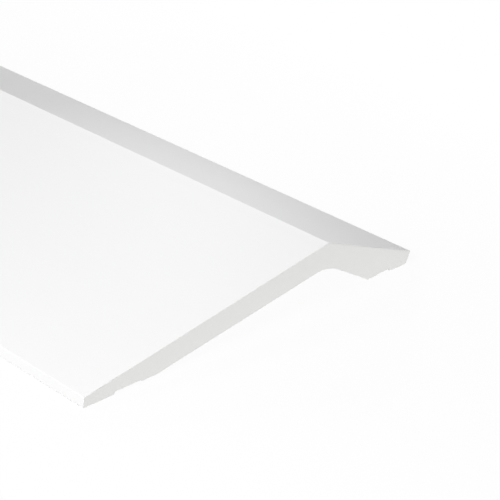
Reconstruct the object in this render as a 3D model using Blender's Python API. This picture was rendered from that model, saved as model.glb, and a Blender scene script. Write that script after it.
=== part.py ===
"""Polystyrene wall panel: one length of extruded stock with a ridged face and a hollow back.

The section is drawn in the XZ plane and extruded along Y. The panel lies face up on the two
outer lands of its back, with its low edge towards -X, its steep side towards +X and its sawn
ends at -Y and +Y. The origin is the middle of the box's base. Sizes are in metres.
"""

import math

import bmesh
import bpy
from mathutils import Vector

# Stock length, and the width that one panel covers between its joint edges' top corners
LENGTH = 2.000
COVER_WIDTH = 0.250

# Face: a long shallow slope up to the ridge, then a short steep one
RIDGE_HEIGHT = 0.0364
RIDGE_FROM_LOW_EDGE = 0.1817
RIDGE_RADIUS = 0.0006

# Joint edges: both lean towards +X as they rise
LOW_EDGE_HEIGHT = 0.0062
LOW_EDGE_LEAN = 0.0011
STEEP_EDGE_HEIGHT = 0.0074
STEEP_EDGE_OVERHANG = 0.0042

# Back, low side: widths of the outer land, the adhesive recess and the inner land
LOW_OUTER_LAND = 0.0212
LOW_RECESS = 0.0190
LOW_INNER_LAND = 0.0106

# Back, steep side: the same three widths
STEEP_OUTER_LAND = 0.0134
STEEP_RECESS = 0.0105
STEEP_INNER_LAND = 0.0082

RECESS_DEPTH = 0.0015
RECESS_DRAFT = 0.0006
INNER_LAND_RELIEF = 0.0007

# Hollow of the back: its two slopes meet under the ridge in a rounded vault
CROWN_DEPTH = 0.0149
CROWN_SETBACK = 0.0010
VAULT_RADIUS = 0.0270

CORNER_RADIUS = 0.0004
ARC_TOLERANCE = 0.00001
SHARP_ANGLE = math.radians(40)

FOAM_COLOUR = (0.86, 0.86, 0.85, 1.0)
FOAM_ROUGHNESS = 0.6


def clear_scene():
    """Remove whatever objects the file holds."""
    for old in list(bpy.data.objects):
        bpy.data.objects.remove(old, do_unlink=True)


def foam_material():
    """White primed polystyrene, matt and not metallic."""
    material = bpy.data.materials.new("white_polystyrene")
    material.use_nodes = True
    shader = material.node_tree.nodes["Principled BSDF"]
    shader.inputs["Base Color"].default_value = FOAM_COLOUR
    shader.inputs["Roughness"].default_value = FOAM_ROUGHNESS
    shader.inputs["Metallic"].default_value = 0.0
    return material


def face_corners():
    """Corners of the joint edges and the face, from the low foot over the ridge."""
    steep_top = LOW_EDGE_LEAN + COVER_WIDTH
    return [
        (0.0, 0.0, CORNER_RADIUS),
        (LOW_EDGE_LEAN, LOW_EDGE_HEIGHT, CORNER_RADIUS),
        (LOW_EDGE_LEAN + RIDGE_FROM_LOW_EDGE, RIDGE_HEIGHT, RIDGE_RADIUS),
        (steep_top, STEEP_EDGE_HEIGHT, CORNER_RADIUS),
        (steep_top - STEEP_EDGE_OVERHANG, 0.0, CORNER_RADIUS),
    ]


def land_corners(foot, towards, outer_land, recess, inner_land):
    """Corners of one side of the back, from its outer land in to the foot of the hollow.

    foot is the X of the side's bottom corner, and towards is +1 or -1, the way to the hollow.
    """
    recess_start = foot + towards * outer_land
    recess_end = recess_start + towards * recess
    draft = towards * RECESS_DRAFT
    return [
        (recess_start, 0.0, CORNER_RADIUS),
        (recess_start + draft, RECESS_DEPTH, CORNER_RADIUS),
        (recess_end - draft, RECESS_DEPTH, CORNER_RADIUS),
        (recess_end, INNER_LAND_RELIEF, CORNER_RADIUS),
        (recess_end + towards * inner_land, INNER_LAND_RELIEF, CORNER_RADIUS),
    ]


def section_corners():
    """Every corner of the section as (x, z, radius), once round it."""
    face = face_corners()
    steep_foot = face[-1][0]
    steep_back = land_corners(steep_foot, -1, STEEP_OUTER_LAND, STEEP_RECESS, STEEP_INNER_LAND)
    low_back = land_corners(0.0, 1, LOW_OUTER_LAND, LOW_RECESS, LOW_INNER_LAND)
    crown = (
        LOW_EDGE_LEAN + RIDGE_FROM_LOW_EDGE - CROWN_SETBACK,
        RIDGE_HEIGHT - CROWN_DEPTH,
        VAULT_RADIUS,
    )
    return face + steep_back + [crown] + list(reversed(low_back))


def rounded_corner(before, corner, after, radius):
    """Points of the arc that rounds one corner, facets within ARC_TOLERANCE of the arc."""
    to_before = (before - corner).normalized()
    to_after = (after - corner).normalized()
    half_angle = to_before.angle(to_after) / 2
    tangent = radius / math.tan(half_angle)
    centre = corner + (to_before + to_after).normalized() * radius / math.sin(half_angle)
    first_spoke = (corner + to_before * tangent - centre).normalized()
    last_spoke = (corner + to_after * tangent - centre).normalized()
    widest_facet = 2 * math.acos(1 - ARC_TOLERANCE / radius)
    steps = math.ceil((math.pi - 2 * half_angle) / widest_facet)
    spokes = [first_spoke.slerp(last_spoke, step / steps) for step in range(steps + 1)]
    return [centre + spoke * radius for spoke in spokes]


def section_outline():
    """Closed outline of the section, centred across the width, as (x, z) vectors."""
    corners = section_corners()
    places = [Vector((x, z)) for x, z, _ in corners]
    outline = []
    for index, (_, _, radius) in enumerate(corners):
        before = places[index - 1]
        after = places[(index + 1) % len(places)]
        outline += rounded_corner(before, places[index], after, radius)
    middle = (min(p.x for p in outline) + max(p.x for p in outline)) / 2
    base = min(p.y for p in outline)
    return [Vector((p.x - middle, p.y - base)) for p in outline]


def wall_panel():
    """Extrude the section along Y between the two sawn ends."""
    shape = bmesh.new()
    near = [shape.verts.new((p.x, -LENGTH / 2, p.y)) for p in section_outline()]
    near_end = shape.faces.new(near)
    extruded = bmesh.ops.extrude_face_region(shape, geom=[near_end], use_keep_orig=True)
    far = [item for item in extruded["geom"] if isinstance(item, bmesh.types.BMVert)]
    bmesh.ops.translate(shape, verts=far, vec=(0.0, LENGTH, 0.0))
    bmesh.ops.recalc_face_normals(shape, faces=shape.faces)
    mesh = bpy.data.meshes.new("wall_panel")
    shape.to_mesh(mesh)
    shape.free()
    mesh.materials.append(foam_material())
    mesh.shade_smooth()
    mesh.set_sharp_from_angle(angle=SHARP_ANGLE)
    panel = bpy.data.objects.new("wall_panel", mesh)
    bpy.context.scene.collection.objects.link(panel)
    flat_faces = panel.modifiers.new("flat_faces", "WEIGHTED_NORMAL")
    flat_faces.keep_sharp = True
    return panel


clear_scene()
wall_panel()
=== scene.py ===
"""Looks of the polystyrene wall panel: its skin, its sawn ends, the studio and the camera.

The panel is one extruded piece, rebuilt here as a fine closed mesh on the frame's own section.
Sizes are in metres, with X across the width, Y along the length and Z up from back to face.
"""

import logging
import math
from dataclasses import dataclass, field
from enum import IntEnum
from typing import Any, ClassVar, Union

import bpy
import numpy as np
from mathutils import Matrix, Vector


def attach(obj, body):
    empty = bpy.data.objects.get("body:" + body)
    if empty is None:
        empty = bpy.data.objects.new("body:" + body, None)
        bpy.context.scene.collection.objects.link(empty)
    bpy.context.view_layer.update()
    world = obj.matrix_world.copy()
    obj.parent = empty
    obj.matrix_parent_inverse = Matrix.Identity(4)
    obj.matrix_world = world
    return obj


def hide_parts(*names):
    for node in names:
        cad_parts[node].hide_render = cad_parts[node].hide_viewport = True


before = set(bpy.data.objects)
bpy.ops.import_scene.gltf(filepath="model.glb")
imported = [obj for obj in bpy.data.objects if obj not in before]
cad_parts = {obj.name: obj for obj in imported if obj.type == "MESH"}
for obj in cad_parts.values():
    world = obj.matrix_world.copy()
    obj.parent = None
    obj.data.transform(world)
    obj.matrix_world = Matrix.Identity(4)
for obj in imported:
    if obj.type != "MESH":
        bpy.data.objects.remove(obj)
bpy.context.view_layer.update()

log = logging.getLogger("wall_panel_scene")

NODE = "wall_panel"
BODY = "root"
WHITE = (1.0, 1.0, 1.0, 1.0)

Value = Union[float, int, tuple, "Socket"]


class Zone(IntEnum):
    """Material zones of the panel, in the order of its material slots."""

    FACE = 0
    BACK = 1
    SAWN = 2


class MixSocket(IntEnum):
    """Numbers of the sockets that mix colours in a Mix node, where several share a name."""

    FACTOR = 0
    RESULT = 2
    FIRST = 6
    SECOND = 7


@dataclass(frozen=True)
class Socket:
    """One output socket of a shader tree, with Python operators that add Math nodes."""

    graph: "ShaderGraph"
    link: Any

    def _math(self, operation: str, first: Value, second: Value) -> "Socket":
        """The result of one Math node, with first on the left and second on the right."""
        return self.graph.node("ShaderNodeMath", {"operation": operation}, {0: first, 1: second})

    def __add__(self, other: Value) -> "Socket":
        """self + other."""
        return self._math("ADD", self, other)

    def __radd__(self, other: Value) -> "Socket":
        """other + self."""
        return self._math("ADD", other, self)

    def __sub__(self, other: Value) -> "Socket":
        """self - other."""
        return self._math("SUBTRACT", self, other)

    def __rsub__(self, other: Value) -> "Socket":
        """other - self."""
        return self._math("SUBTRACT", other, self)

    def __mul__(self, other: Value) -> "Socket":
        """self * other."""
        return self._math("MULTIPLY", self, other)

    def __rmul__(self, other: Value) -> "Socket":
        """other * self."""
        return self._math("MULTIPLY", other, self)

    def __truediv__(self, other: Value) -> "Socket":
        """self / other."""
        return self._math("DIVIDE", self, other)

    def __rtruediv__(self, other: Value) -> "Socket":
        """other / self."""
        return self._math("DIVIDE", other, self)

    def centred(self) -> "Socket":
        """This value less a half, so that a noise varies evenly round 0."""
        return self - 0.5

    def clamped(self, low: float, high: float) -> "Socket":
        """This value kept between low and high."""
        return self._math("MINIMUM", self._math("MAXIMUM", self, low), high)


class ShaderGraph:
    """The node tree of a material or a world, built from Python expressions."""

    def __init__(self, owner: Union[bpy.types.Material, bpy.types.World]) -> None:
        """Start with an empty tree.

        Args:
            owner: The new material or world that the tree belongs to.
        """
        self.owner = owner
        self.owner.use_nodes = True
        self.tree = self.owner.node_tree
        self.tree.nodes.clear()

    def node(
        self, kind: str, settings: dict[str, Any], inputs: dict[Any, Value], output: Any = 0
    ) -> Socket:
        """Add one node of any type.

        Args:
            kind: The node's type name.
            settings: Properties set before its sockets are filled.
            inputs: Socket values or links, by socket name or index.
            output: Name or index of the output socket wanted.

        Returns:
            The wanted output socket, wrapped.
        """
        made = self.tree.nodes.new(kind)
        for key, value in settings.items():
            setattr(made, key, value)
        for key, value in inputs.items():
            if isinstance(value, Socket):
                self.tree.links.new(value.link, made.inputs[key])
            else:
                made.inputs[key].default_value = value
        return Socket(self, made.outputs[output])

    def place(self, stretch: tuple[float, float, float]) -> Socket:
        """Object coordinates times stretch, in pattern units for each metre of X, Y and Z."""
        position = self.node("ShaderNodeTexCoord", {}, {}, "Object")
        return self.node("ShaderNodeMapping", {}, {"Vector": position, "Scale": stretch})

    def noise(self, stretch: tuple[float, float, float], detail: float) -> Socket:
        """Noise from 0 to 1, with stretch features for each metre and detail finer octaves."""
        inputs = {"Vector": self.place(stretch), "Scale": 1.0, "Detail": detail}
        return self.node("ShaderNodeTexNoise", {}, inputs, "Fac")

    def tint(self, colour: tuple[float, float, float], brightness: Value) -> Socket:
        """A colour made lighter or darker by a varying factor.

        Args:
            colour: The colour where the factor is 1.
            brightness: The factor.

        Returns:
            The varied colour.
        """
        channels = dict.fromkeys(("Red", "Green", "Blue"), brightness)
        grey = self.node("ShaderNodeCombineColor", {}, channels)
        settings = {"data_type": "RGBA", "blend_type": "MULTIPLY"}
        inputs = {MixSocket.FACTOR: 1.0, MixSocket.FIRST: (*colour, 1.0), MixSocket.SECOND: grey}
        return self.node("ShaderNodeMix", settings, inputs, MixSocket.RESULT)

    def bump(self, height: Socket, depth: float) -> Socket:
        """A normal tilted by a height field, which stands depth metres high where it is 1."""
        inputs = {"Strength": 1.0, "Distance": depth, "Height": height}
        return self.node("ShaderNodeBump", {}, inputs, "Normal")

    def mix_shaders(self, share: Socket, first: Socket, second: Socket) -> Socket:
        """The first shader where share is 0, the second where it is 1, and a blend between."""
        return self.node("ShaderNodeMixShader", {}, {0: share, 1: first, 2: second})

    def seen_directly(self) -> Socket:
        """Tell the rays that are looked along from the rays that carry light.

        Returns:
            1 for camera, mirror and see-through rays, and 0 for the others.
        """
        kinds = ("Is Camera Ray", "Is Glossy Ray", "Is Transmission Ray")
        camera, glossy, transmission = (
            self.node("ShaderNodeLightPath", {}, {}, kind) for kind in kinds
        )
        return (camera + glossy + transmission).clamped(0.0, 1.0)

    def finish(self, shader: Socket) -> Union[bpy.types.Material, bpy.types.World]:
        """Connect a shader to the tree's output.

        Args:
            shader: The finished shader.

        Returns:
            The material or world.
        """
        kind = "World" if isinstance(self.owner, bpy.types.World) else "Material"
        output = self.tree.nodes.new(f"ShaderNodeOutput{kind}")
        self.tree.links.new(shader.link, output.inputs["Surface"])
        return self.owner


@dataclass(frozen=True)
class LinedSkin:
    """Smooth skin with fine lines along the panel, a finer grain and slow clouds.

    Spacings, lengths, sizes and depths are in metres. A pattern's shade is how far it swings the
    brightness, and its roughness how far it swings the skin's roughness.
    """

    name: str
    colour: tuple[float, float, float]
    roughness: float
    specular: float
    line_spacing: float
    line_length: float
    line_depth: float
    line_detail: float
    line_shade: float
    line_roughness: float
    grain_size: float
    grain_depth: float
    grain_shade: float
    cloud_size: float
    cloud_detail: float
    cloud_shade: float
    cloud_roughness: float

    def build(self) -> bpy.types.Material:
        """Add each pattern's swing to the even brightness and roughness, and raise the relief.

        Returns:
            The skin's material.
        """
        graph = ShaderGraph(bpy.data.materials.new(self.name))
        across = 1 / self.line_spacing
        lines = graph.noise((across, 1 / self.line_length, across), detail=self.line_detail)
        grain = graph.noise((1 / self.grain_size,) * 3, detail=2.0)
        clouds = graph.noise((1 / self.cloud_size,) * 3, detail=self.cloud_detail)
        brightness = (
            1.0
            + lines.centred() * self.line_shade
            + clouds.centred() * self.cloud_shade
            + grain.centred() * self.grain_shade
        )
        roughness = (
            self.roughness
            + clouds.centred() * self.cloud_roughness
            + lines.centred() * self.line_roughness
        )
        relief = lines * (self.line_depth / self.grain_depth) + grain
        inputs = {
            "Base Color": graph.tint(self.colour, brightness),
            "Roughness": roughness,
            "Normal": graph.bump(relief, self.grain_depth),
            "Specular IOR Level": self.specular,
        }
        return graph.finish(graph.node("ShaderNodeBsdfPrincipled", {}, inputs))


@dataclass(frozen=True)
class PrimedFace(LinedSkin):
    """Matt white primer over the face and joint edges, with faint draw lines along them."""

    name: str = "white_primer"
    colour: tuple[float, float, float] = (0.925, 0.925, 0.925)
    roughness: float = 0.52
    specular: float = 0.35
    line_spacing: float = 0.0035
    line_length: float = 1.4
    line_depth: float = 0.000012
    line_detail: float = 3.0
    line_shade: float = 0.008
    line_roughness: float = 0.06
    grain_size: float = 0.0006
    grain_depth: float = 0.000006
    grain_shade: float = 0.006
    cloud_size: float = 0.045
    cloud_detail: float = 1.0
    cloud_shade: float = 0.008
    cloud_roughness: float = 0.10


@dataclass(frozen=True)
class ExtrudedBack(LinedSkin):
    """Bare extruded skin of the back, with clearer die lines."""

    name: str = "extruded_skin"
    colour: tuple[float, float, float] = (0.915, 0.915, 0.905)
    roughness: float = 0.46
    specular: float = 0.4
    line_spacing: float = 0.0016
    line_length: float = 0.9
    line_depth: float = 0.00003
    line_detail: float = 4.0
    line_shade: float = 0.03
    line_roughness: float = 0.10
    grain_size: float = 0.0009
    grain_depth: float = 0.00001
    grain_shade: float = 0.01
    cloud_size: float = 0.03
    cloud_detail: float = 2.0
    cloud_shade: float = 0.02
    cloud_roughness: float = 0.16


@dataclass(frozen=True)
class SawnFoam:
    """Cut closed cells of the sawn ends, shallower towards the skin, with painted shade in each
    cell's hollow.
    """

    # Mesh attribute that holds each point's depth below the skin
    depth_name: ClassVar[str] = "skin_depth"
    # Width of one band of a Wave texture whose scale is 1
    wave_band: ClassVar[float] = 0.314
    name: str = "sawn_foam"
    colour: tuple[float, float, float] = (0.87, 0.87, 0.855)
    roughness: float = 0.85
    cell_size: float = 0.00035
    cell_depth: float = 0.00006
    saw_mark_pitch: float = 0.0021
    saw_mark_tilt: float = math.radians(62)
    saw_mark_depth: float = 0.00001
    saw_mark_wander: float = 2.0
    saw_mark_detail: float = 2.0
    saw_mark_detail_scale: float = 0.6
    skin_thickness: float = 0.0012
    skin_openness: float = 0.15
    density_size: float = 0.006
    mean_hollow: float = 0.4
    # How far the cells' hollows darken the sawn end: painted shade in each cut cell
    painted_hollow_shade: float = 0.05
    density_shade: float = 0.02
    saw_mark_shade: float = 0.006
    density_roughness: float = 0.1
    specular: float = 0.2

    def saw_marks(self, graph: ShaderGraph) -> Socket:
        """Faint slanted bands, as the teeth of a saw leave them.

        Args:
            graph: The tree that the bands are added to.

        Returns:
            The bands, from 0 to 1.
        """
        position = graph.node("ShaderNodeTexCoord", {}, {}, "Object")
        turn = {"Vector": position, "Rotation": (0.0, self.saw_mark_tilt, 0.0)}
        inputs = {
            "Vector": graph.node("ShaderNodeMapping", {"vector_type": "TEXTURE"}, turn),
            "Scale": self.wave_band / self.saw_mark_pitch,
            "Distortion": self.saw_mark_wander,
            "Detail": self.saw_mark_detail,
            "Detail Scale": self.saw_mark_detail_scale,
        }
        return graph.node("ShaderNodeTexWave", {"bands_direction": "X"}, inputs, "Fac")

    def build(self) -> bpy.types.Material:
        """Cut a cell pattern with painted shade in its hollows, fade it into the skin, add saw
        marks.

        Returns:
            The sawn foam's material.
        """
        graph = ShaderGraph(bpy.data.materials.new(self.name))
        settings = {"feature": "F1", "distance": "EUCLIDEAN"}
        inputs = {"Vector": graph.place((1 / self.cell_size,) * 3), "Scale": 1.0}
        cell = graph.node("ShaderNodeTexVoronoi", settings, inputs, "Distance")
        depth = graph.node("ShaderNodeAttribute", {"attribute_name": self.depth_name}, {}, "Fac")
        open_foam = (depth / self.skin_thickness).clamped(self.skin_openness, 1.0)
        hollows = cell.clamped(0.0, 1.0) * open_foam
        density = graph.noise((1 / self.density_size,) * 3, detail=2.0)
        marks = self.saw_marks(graph)
        # The hollows term is painted shade, darker towards each cell's deep middle; density and saw
        # marks are the foam's own tone
        brightness = (
            1.0
            + (hollows - self.mean_hollow) * self.painted_hollow_shade
            + density.centred() * self.density_shade
            + marks.centred() * self.saw_mark_shade
        )
        relief = hollows + marks * (self.saw_mark_depth / self.cell_depth)
        inputs = {
            "Base Color": graph.tint(self.colour, brightness),
            "Roughness": self.roughness + density.centred() * self.density_roughness,
            "Normal": graph.bump(relief, self.cell_depth),
            "Specular IOR Level": self.specular,
        }
        return graph.finish(graph.node("ShaderNodeBsdfPrincipled", {}, inputs))


@dataclass(frozen=True)
class PanelSection:
    """The panel's section, as corners joined by straight sides and rounded by arcs."""

    # Places in the list of corners of the low foot, low top, steep top and steep foot
    outer_corners: ClassVar[tuple[int, int, int, int]] = (0, 1, 3, 4)
    cover_width: float = 0.250
    ridge_height: float = 0.0364
    ridge_from_low_edge: float = 0.1817
    ridge_radius: float = 0.0006
    low_edge_height: float = 0.0062
    low_edge_lean: float = 0.0011
    steep_edge_height: float = 0.0074
    steep_edge_overhang: float = 0.0042
    low_outer_land: float = 0.0212
    low_recess: float = 0.0190
    low_inner_land: float = 0.0106
    steep_outer_land: float = 0.0134
    steep_recess: float = 0.0105
    steep_inner_land: float = 0.0082
    recess_depth: float = 0.0015
    recess_draft: float = 0.0006
    inner_land_relief: float = 0.0007
    crown_depth: float = 0.0149
    crown_setback: float = 0.0010
    vault_radius: float = 0.0270
    corner_radius: float = 0.0004
    arc_steps: int = 12

    def _back_side(
        self, foot: float, towards: int, outer: float, recess: float, inner: float
    ) -> list[tuple[float, float, float]]:
        """Corners of one side of the back, from its outer land to the hollow.

        Args:
            foot: X of the side's bottom corner.
            towards: +1 or -1, the way to the hollow.
            outer: Width of the outer land.
            recess: Width of the adhesive recess.
            inner: Width of the inner land.

        Returns:
            Corners as (x, z, radius).
        """
        start = foot + towards * outer
        end = start + towards * recess
        draft = towards * self.recess_draft
        radius = self.corner_radius
        return [
            (start, 0.0, radius),
            (start + draft, self.recess_depth, radius),
            (end - draft, self.recess_depth, radius),
            (end, self.inner_land_relief, radius),
            (end + towards * inner, self.inner_land_relief, radius),
        ]

    def corners(self) -> np.ndarray:
        """Every corner once round the section, from the low foot over the ridge.

        Returns:
            Rows of x, z and radius.
        """
        radius = self.corner_radius
        ridge = self.low_edge_lean + self.ridge_from_low_edge
        top = self.low_edge_lean + self.cover_width
        foot = top - self.steep_edge_overhang
        low = self._back_side(0.0, 1, self.low_outer_land, self.low_recess, self.low_inner_land)
        steep = self._back_side(
            foot, -1, self.steep_outer_land, self.steep_recess, self.steep_inner_land
        )
        rows = [
            (0.0, 0.0, radius),
            (self.low_edge_lean, self.low_edge_height, radius),
            (ridge, self.ridge_height, self.ridge_radius),
            (top, self.steep_edge_height, radius),
            (foot, 0.0, radius),
            *steep,
            (ridge - self.crown_setback, self.ridge_height - self.crown_depth, self.vault_radius),
            *reversed(low),
        ]
        return np.array(rows)

    def outline(self) -> np.ndarray:
        """Closed outline with every corner rounded, centred across the width.

        For each corner the arc's centre lies on the bisector, radius / sin(half angle) from
        the corner, and its spokes turn evenly from the first tangent point to the last. A
        spoke is also the skin's outward normal there, turned round at an inside corner.

        Returns:
            Rows of x, z and the normal's x and z, of shape (corners, arc_steps + 1, 4).
        """
        rows = self.corners()
        place, radius = rows[:, :2], rows[:, 2:]
        back = np.roll(place, 1, axis=0) - place
        ahead = np.roll(place, -1, axis=0) - place
        back /= np.linalg.norm(back, axis=1, keepdims=True)
        ahead /= np.linalg.norm(ahead, axis=1, keepdims=True)
        half = np.arccos(np.clip((back * ahead).sum(1, keepdims=True), -1, 1)) / 2
        bisector = back + ahead
        bisector /= np.linalg.norm(bisector, axis=1, keepdims=True)
        centre = place + bisector * radius / np.sin(half)
        first = (place + back * radius / np.tan(half) - centre) / radius
        last = (place + ahead * radius / np.tan(half) - centre) / radius
        turn = (math.pi - 2 * half)[:, None, :]
        share = np.linspace(0, 1, self.arc_steps + 1)[None, :, None]
        spokes = np.sin((1 - share) * turn) * first[:, None] + np.sin(share * turn) * last[:, None]
        spokes /= np.sin(turn)
        points = centre[:, None] + radius[:, None] * spokes
        flat = points.reshape(-1, 2)
        middle = (flat[:, 0].min() + flat[:, 0].max()) / 2
        inside = back[:, 1] * ahead[:, 0] > back[:, 0] * ahead[:, 1]
        outward = spokes * np.where(inside, -1, 1)[:, None, None]
        return np.concatenate([points - np.array([middle, flat[:, 1].min()]), outward], axis=2)


@dataclass
class PanelBody:
    """The whole panel: its section carried along Y and closed by two sawn ends."""

    section: PanelSection = field(default_factory=PanelSection)
    length: float = 2.0
    face_step: float = 0.0025
    edge_steps: int = 14
    length_step: float = 0.025
    arris_radius: float = 0.00015
    arris_steps: int = 3
    tuck: float = 0.000005
    station_digits: int = 5

    def face_stations(self, share: list[np.ndarray]) -> np.ndarray:
        """All stations of the face and the back in order, with more of them every face_step."""
        fill = np.linspace(0, 1, round(self.section.cover_width / self.face_step) + 1)
        return np.unique(np.round(np.concatenate([*share, fill]), self.station_digits))

    def loop(self) -> tuple[np.ndarray, int, int]:
        """The section's outline with matching stations on facing sides.

        It is cut at the middle of its four outer corners. The loop runs up the low edge, over
        the face, down the steep edge and along the back.

        Returns:
            Rows of x, z and the normal's x and z, then the count of stations across the width
            and the count from the back to the face, where each side takes in both its ends.
        """
        outline = self.section.outline().reshape(-1, 4)
        stride = self.section.arc_steps + 1
        middle = self.section.arc_steps // 2
        cuts = (stride * corner + middle for corner in self.section.outer_corners)
        low_foot, low_top, steep_top, steep_foot = cuts
        low_edge = outline[low_foot : low_top + 1]
        face = outline[low_top : steep_top + 1]
        steep_edge = outline[steep_top : steep_foot + 1]
        back = np.concatenate([outline[steep_foot:], outline[: low_foot + 1]])
        share = [(path[:, 0] - path[0, 0]) / (path[-1, 0] - path[0, 0]) for path in (face, back)]
        across = self.face_stations([share[0], 1 - share[1]])
        knots = np.arange(float(len(low_edge)))
        # Between its two arcs an edge is straight, from knot middle to the next
        straight = np.linspace(middle, middle + 1, self.edge_steps)
        up = np.unique(np.concatenate([knots, straight]))
        sides = [
            self.sample(low_edge, knots, up),
            self.sample(face, share[0], across),
            self.sample(steep_edge, knots, up),
            self.sample(back, share[1], 1 - across[::-1]),
        ]
        return np.concatenate([side[:-1] for side in sides]), len(across), len(up)

    @staticmethod
    def sample(path: np.ndarray, knots: np.ndarray, stations: np.ndarray) -> np.ndarray:
        """A path's rows at new stations, on straight lines between its own rows at knots."""
        return np.stack([np.interp(stations, knots, column) for column in path.T], axis=1)

    def skin(self, loop: np.ndarray) -> tuple[np.ndarray, np.ndarray]:
        """Points and normals of the skin, ring by ring along Y.

        The surface is the loop carried along Y, drawn in by tuck and by radius *
        (1 - sin angle) over the quarter round of both sawn arrises, where angle runs from 0 on
        the sawn end to a right angle on the skin. Its normal is sin angle times the loop's and
        cos angle times the end's.

        Args:
            loop: The closed loop of the section.

        Returns:
            Points and normals, each of shape (rings, loop rows, 3).
        """
        quarter = np.linspace(0, math.pi / 2, self.arris_steps + 1)
        near = -self.length / 2 + self.arris_radius * (1 - np.cos(quarter))
        count = round(self.length / self.length_step)
        middle = np.linspace(near[-1], -near[-1], count + 1)[1:-1]
        y = np.concatenate([near, middle, -near[::-1]])[:, None]
        angle = np.concatenate([quarter, np.full(len(middle), math.pi / 2), quarter[::-1]])
        drawn_in = self.tuck + self.arris_radius * (1 - np.sin(angle))[:, None]
        x = loop[:, 0] - loop[:, 2] * drawn_in
        z = loop[:, 1] - loop[:, 3] * drawn_in
        points = np.stack([x, np.broadcast_to(y, x.shape), z], axis=2)
        side = np.sin(angle)[:, None]
        facing = np.broadcast_to(np.sign(y) * np.cos(angle)[:, None], x.shape)
        return points, np.stack([side * loop[:, 2], facing, side * loop[:, 3]], axis=2)

    @staticmethod
    def sides(ring: np.ndarray, across: int, up: int) -> tuple[np.ndarray, ...]:
        """Cut a closed ring into its four sides.

        Args:
            ring: Points or vertex numbers once round the section.
            across: Count of stations across the width.
            up: Count of stations from the back to the face.

        Returns:
            Low edge, steep edge, back and face, each from low to high X or from the back up.
        """
        closed = np.concatenate([ring, ring[:1]])
        corner = np.cumsum([0, up - 1, across - 1, up - 1, across - 1])
        low, face, steep, back = (closed[a : b + 1] for a, b in zip(corner[:-1], corner[1:]))
        return low, steep[::-1], back[::-1], face

    def cap(self, ring: np.ndarray, across: int, up: int) -> tuple[np.ndarray, np.ndarray]:
        """Fill one end ring with a Coons patch.

        The patch is the sheet ruled from back to face, plus the sheet ruled from the low edge
        to the steep edge, less the flat sheet through the four corners.

        Args:
            ring: The end ring's points.
            across: Count of stations across the width.
            up: Count of stations from the back to the face.

        Returns:
            The patch's points inside its border, and the depth of each below the skin.
        """
        low, steep, back, face = self.sides(ring, across, up)
        u = ((back[:, 0] - back[0, 0]) / (back[-1, 0] - back[0, 0]))[:, None, None]
        v = ((low[:, 2] - low[0, 2]) / (low[-1, 2] - low[0, 2]))[None, :, None]
        ruled = (1 - v) * back[:, None] + v * face[:, None] + (1 - u) * low + u * steep
        flat = (1 - u) * ((1 - v) * low[0] + v * low[-1]) + u * ((1 - v) * steep[0] + v * steep[-1])
        points = (ruled - flat)[1:-1, 1:-1]
        gap = points.reshape(-1, 1, 3) - ring[None]
        depth = np.sqrt((gap**2).sum(2).min(1))
        return points.reshape(-1, 3), depth

    def cap_quads(self, ring: np.ndarray, first: int, across: int, up: int) -> np.ndarray:
        """Quads of one end's patch.

        Args:
            ring: The end ring's vertex numbers.
            first: Number of the patch's first inner vertex.
            across: Count of stations across the width.
            up: Count of stations from the back to the face.

        Returns:
            Quads that face -Y.
        """
        grid = np.empty((across, up), int)
        grid[0], grid[-1], grid[:, 0], grid[:, -1] = self.sides(ring, across, up)
        inner = np.arange((across - 2) * (up - 2)) + first
        grid[1:-1, 1:-1] = inner.reshape(across - 2, up - 2)
        return self.quads(grid)

    @staticmethod
    def quads(grid: np.ndarray) -> np.ndarray:
        """Quads between neighbouring vertex numbers of a grid, first axis first."""
        corners = (grid[:-1, :-1], grid[1:, :-1], grid[1:, 1:], grid[:-1, 1:])
        return np.stack(corners, axis=2).reshape(-1, 4)

    def arrays(self) -> tuple[np.ndarray, ...]:
        """Join the skin and both sawn ends into one closed surface.

        Returns:
            Points, outward normals and depths below the skin, with a row for each vertex, then
            the quads and their zones.
        """
        loop, across, up = self.loop()
        skin, normals = self.skin(loop)
        rings, count = skin.shape[:2]
        number = np.arange(rings * count).reshape(rings, count)
        near, near_depth = self.cap(skin[0], across, up)
        far, far_depth = self.cap(skin[-1], across, up)
        near_quads = self.cap_quads(number[0], rings * count, across, up)
        far_quads = self.cap_quads(number[-1], rings * count + len(near), across, up)
        wrapped = np.concatenate([number, number[:, :1]], axis=1)
        before_back = (up - 1) + (across - 1) + (up - 1)
        on_back = np.arange(count) >= before_back
        skin_zones = np.repeat(np.where(on_back, Zone.BACK, Zone.FACE), rings - 1)
        sawn_zones = np.full(len(near_quads) + len(far_quads), Zone.SAWN)
        along = np.tile([0.0, 1.0, 0.0], (len(near), 1))
        points = np.concatenate([skin.reshape(-1, 3), near, far])
        outward = np.concatenate([normals.reshape(-1, 3), -along, along])
        depth = np.concatenate([np.zeros(rings * count), near_depth, far_depth])
        quads = np.concatenate([self.quads(wrapped.T), near_quads, far_quads[:, ::-1]])
        return points, outward, depth, quads, np.concatenate([skin_zones, sawn_zones])

    def build(self, finishes: dict[Zone, bpy.types.Material]) -> bpy.types.Object:
        """Make the mesh, with its own normals, finishes and depths below the skin.

        Args:
            finishes: The material of each zone.

        Returns:
            The panel's object, at the origin, with its place in its mesh.
        """
        points, outward, depth, quads, zones = self.arrays()
        mesh = bpy.data.meshes.new("panel_body")
        mesh.from_pydata(points.tolist(), [], quads.tolist())
        for zone in Zone:
            mesh.materials.append(finishes[zone])
        mesh.polygons.foreach_set("material_index", zones.astype(np.int32))
        skin_depth = mesh.attributes.new(SawnFoam.depth_name, "FLOAT", "POINT")
        skin_depth.data.foreach_set("value", depth.astype(np.float32))
        mesh.shade_smooth()
        mesh.normals_split_custom_set_from_vertices(outward.tolist())
        body = bpy.data.objects.new("panel_body", mesh)
        bpy.context.scene.collection.objects.link(body)
        return body


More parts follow.
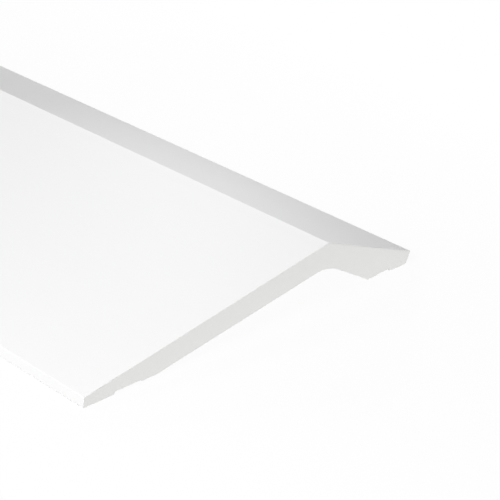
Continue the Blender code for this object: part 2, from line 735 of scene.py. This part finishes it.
@dataclass(frozen=True)
class StudioFloor:
    """Wide pale floor that looks white, keeps a faint shadow and is clear from below.

    lit_share is how much of its white comes from the lamps, within an oval whose half axes along
    X and Y are lit_reach. Beyond it that share falls to nothing over fade times the half axes.
    """

    size: float = 60.0
    lit_share: float = 0.08
    lit_reach: tuple[float, float] = (0.2, 1.08)
    fade: float = 0.8

    def material(self) -> bpy.types.Material:
        """Mix plain white into the lit floor, all of it beyond an oval round the object.

        Returns:
            The floor's material.
        """
        graph = ShaderGraph(bpy.data.materials.new("studio_floor"))
        lit = graph.node("ShaderNodeBsdfDiffuse", {}, {"Color": WHITE})
        white = graph.node("ShaderNodeEmission", {}, {"Color": WHITE})
        place = graph.place((1 / self.lit_reach[0], 1 / self.lit_reach[1], 0.0))
        distance = graph.node("ShaderNodeVectorMath", {"operation": "LENGTH"}, {0: place}, "Value")
        near = 1.0 - ((distance - 1.0) / self.fade).clamped(0.0, 1.0)
        share = graph.seen_directly() * (1.0 - near * self.lit_share)
        top = graph.mix_shaders(share, lit, white)
        below = graph.node("ShaderNodeNewGeometry", {}, {}, "Backfacing")
        clear = graph.node("ShaderNodeBsdfTransparent", {}, {})
        return graph.finish(graph.mix_shaders(below, top, clear))

    def build(self) -> bpy.types.Object:
        """Lay one square sheet at Z = 0 that takes a shadow and neither sends nor blocks light.

        Returns:
            The floor's object.
        """
        half = self.size / 2
        corners = np.array([[-1, -1, 0], [1, -1, 0], [1, 1, 0], [-1, 1, 0]]) * half
        mesh = bpy.data.meshes.new("studio_floor")
        mesh.from_pydata(corners.tolist(), [], [(0, 1, 2, 3)])
        mesh.materials.append(self.material())
        floor = bpy.data.objects.new("studio_floor", mesh)
        floor.visible_diffuse = False
        floor.visible_shadow = False
        bpy.context.scene.collection.objects.link(floor)
        return floor


@dataclass(frozen=True)
class StudioAir:
    """Even grey light from all round, which looks white."""

    level: float = 0.25

    def build(self) -> bpy.types.World:
        """Make the world white where it is looked at and grey as a light.

        Returns:
            The world.
        """
        graph = ShaderGraph(bpy.data.worlds.new("studio_air"))
        grey = (self.level, self.level, self.level, 1.0)
        light = graph.node("ShaderNodeBackground", {}, {"Color": grey})
        white = graph.node("ShaderNodeBackground", {}, {"Color": WHITE})
        return graph.finish(graph.mix_shaders(graph.seen_directly(), light, white))


@dataclass(frozen=True)
class StudioLamp:
    """A lamp stated by the light that it gives at the point it is aimed at.

    level is the brightness of a white matt surface there that faces the lamp, where 1 is white.
    """

    name: str
    place: tuple[float, float, float]
    aim: tuple[float, float, float]
    size: float
    level: float

    def distance(self) -> float:
        """How far the lamp is from the point it is aimed at."""
        return math.dist(self.place, self.aim)

    def hang(self, data: bpy.types.Light) -> bpy.types.Object:
        """Put the lamp in its place, aimed and out of sight.

        Args:
            data: The lamp's light.

        Returns:
            The lamp's object.
        """
        lamp = bpy.data.objects.new(self.name, data)
        direction = Vector(self.aim) - Vector(self.place)
        lamp.location = self.place
        lamp.rotation_euler = direction.to_track_quat("-Z", "Y").to_euler()
        lamp.visible_camera = False
        lamp.visible_glossy = False
        bpy.context.scene.collection.objects.link(lamp)
        return lamp


@dataclass(frozen=True)
class SoftLamp(StudioLamp):
    """Square soft lamp, as wide as its size."""

    def build(self) -> bpy.types.Object:
        """Make the lamp, whose power is level * (pi * distance) squared.

        Returns:
            The lamp's object.
        """
        data = bpy.data.lights.new(self.name, "AREA")
        data.shape = "SQUARE"
        data.size = self.size
        data.energy = self.level * (math.pi * self.distance()) ** 2
        return self.hang(data)


@dataclass(frozen=True)
class SoftSpot(StudioLamp):
    """Round soft spot, as wide as its size, which fades out from its middle to its rim."""

    half_angle: float

    def build(self) -> bpy.types.Object:
        """Make the spot, whose power is level * (2 * pi * distance) squared.

        Returns:
            The spot's object.
        """
        data = bpy.data.lights.new(self.name, "SPOT")
        data.shadow_soft_size = self.size / 2
        data.spot_size = 2 * self.half_angle
        data.spot_blend = 1.0
        data.energy = self.level * (2 * math.pi * self.distance()) ** 2
        return self.hang(data)


@dataclass(frozen=True)
class LongLens:
    """Camera that looks down over the near corner of the low edge."""

    place: tuple[float, float, float] = (-0.65318, -1.74826, 0.55059)
    forward: tuple[float, float, float] = (0.58559, 0.67506, -0.44876)
    up: tuple[float, float, float] = (0.31134, 0.32384, 0.89342)
    lens: float = 142.05
    sensor: float = 36.0

    def build(self) -> bpy.types.Object:
        """Make the camera, with its axes from forward and up.

        Returns:
            The camera's object.
        """
        data = bpy.data.cameras.new("camera")
        data.lens = self.lens
        data.sensor_width = self.sensor
        camera = bpy.data.objects.new("camera", data)
        forward, up = Vector(self.forward).normalized(), Vector(self.up)
        right = forward.cross(up).normalized()
        axes = Matrix((right, right.cross(forward), -forward)).transposed()
        camera.matrix_world = Matrix.Translation(self.place) @ axes.to_4x4()
        bpy.context.scene.collection.objects.link(camera)
        bpy.context.scene.camera = camera
        return camera


# Key lamps light the face, side lamps the steep slope, and bounce lamps the end and the back
LAMPS = (
    SoftLamp("near_key_lamp", (-1.134, -1.088, 0.804), (0.0, -0.88, 0.0), size=0.8, level=0.754),
    SoftLamp("far_key_lamp", (-0.921, 0.935, 1.449), (0.0, 0.55, 0.0), size=1.0, level=0.709),
    SoftSpot(
        "near_side_spot",
        (0.5, -0.144, 0.275),
        (-0.05, -1.096, 0.02),
        size=0.15,
        level=0.432,
        half_angle=0.154,
    ),
    SoftLamp("far_side_lamp", (0.801, -0.59, 0.541), (0.1, 0.8, 0.02), size=0.8, level=0.06),
    SoftLamp("end_bounce_lamp", (0.116, -2.031, -0.727), (0.0, -0.8, 0.0), size=0.6, level=0.566),
    SoftLamp("back_bounce_lamp", (0.761, 1.795, -1.664), (0.0, 0.2, 0.0), size=1.2, level=0.581),
)


def build_panel() -> bpy.types.Object:
    """Build the panel, dress it and put it in the place of the frame's own node.

    Returns:
        The panel's object.
    """
    finishes = {
        Zone.FACE: PrimedFace().build(),
        Zone.BACK: ExtrudedBack().build(),
        Zone.SAWN: SawnFoam().build(),
    }
    body = PanelBody().build(finishes)
    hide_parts(NODE)
    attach(body, BODY)
    return body


def build_studio() -> None:
    """Build the floor, the air, the lamps and the camera."""
    floor = StudioFloor().build()
    log.info("floor %s", floor.name)
    scene = bpy.context.scene
    scene.world = StudioAir().build()
    scene.view_settings.view_transform = "Standard"
    for lamp in LAMPS:
        log.info("lamp %s", lamp.build().name)
    log.info("camera %s", LongLens().build().name)


def main() -> None:
    """Build the panel and the studio."""
    logging.basicConfig(level=logging.INFO)
    body = build_panel()
    log.info("piece %s: %d faces", body.name, len(body.data.polygons))
    build_studio()


if __name__ == "__main__":
    main()
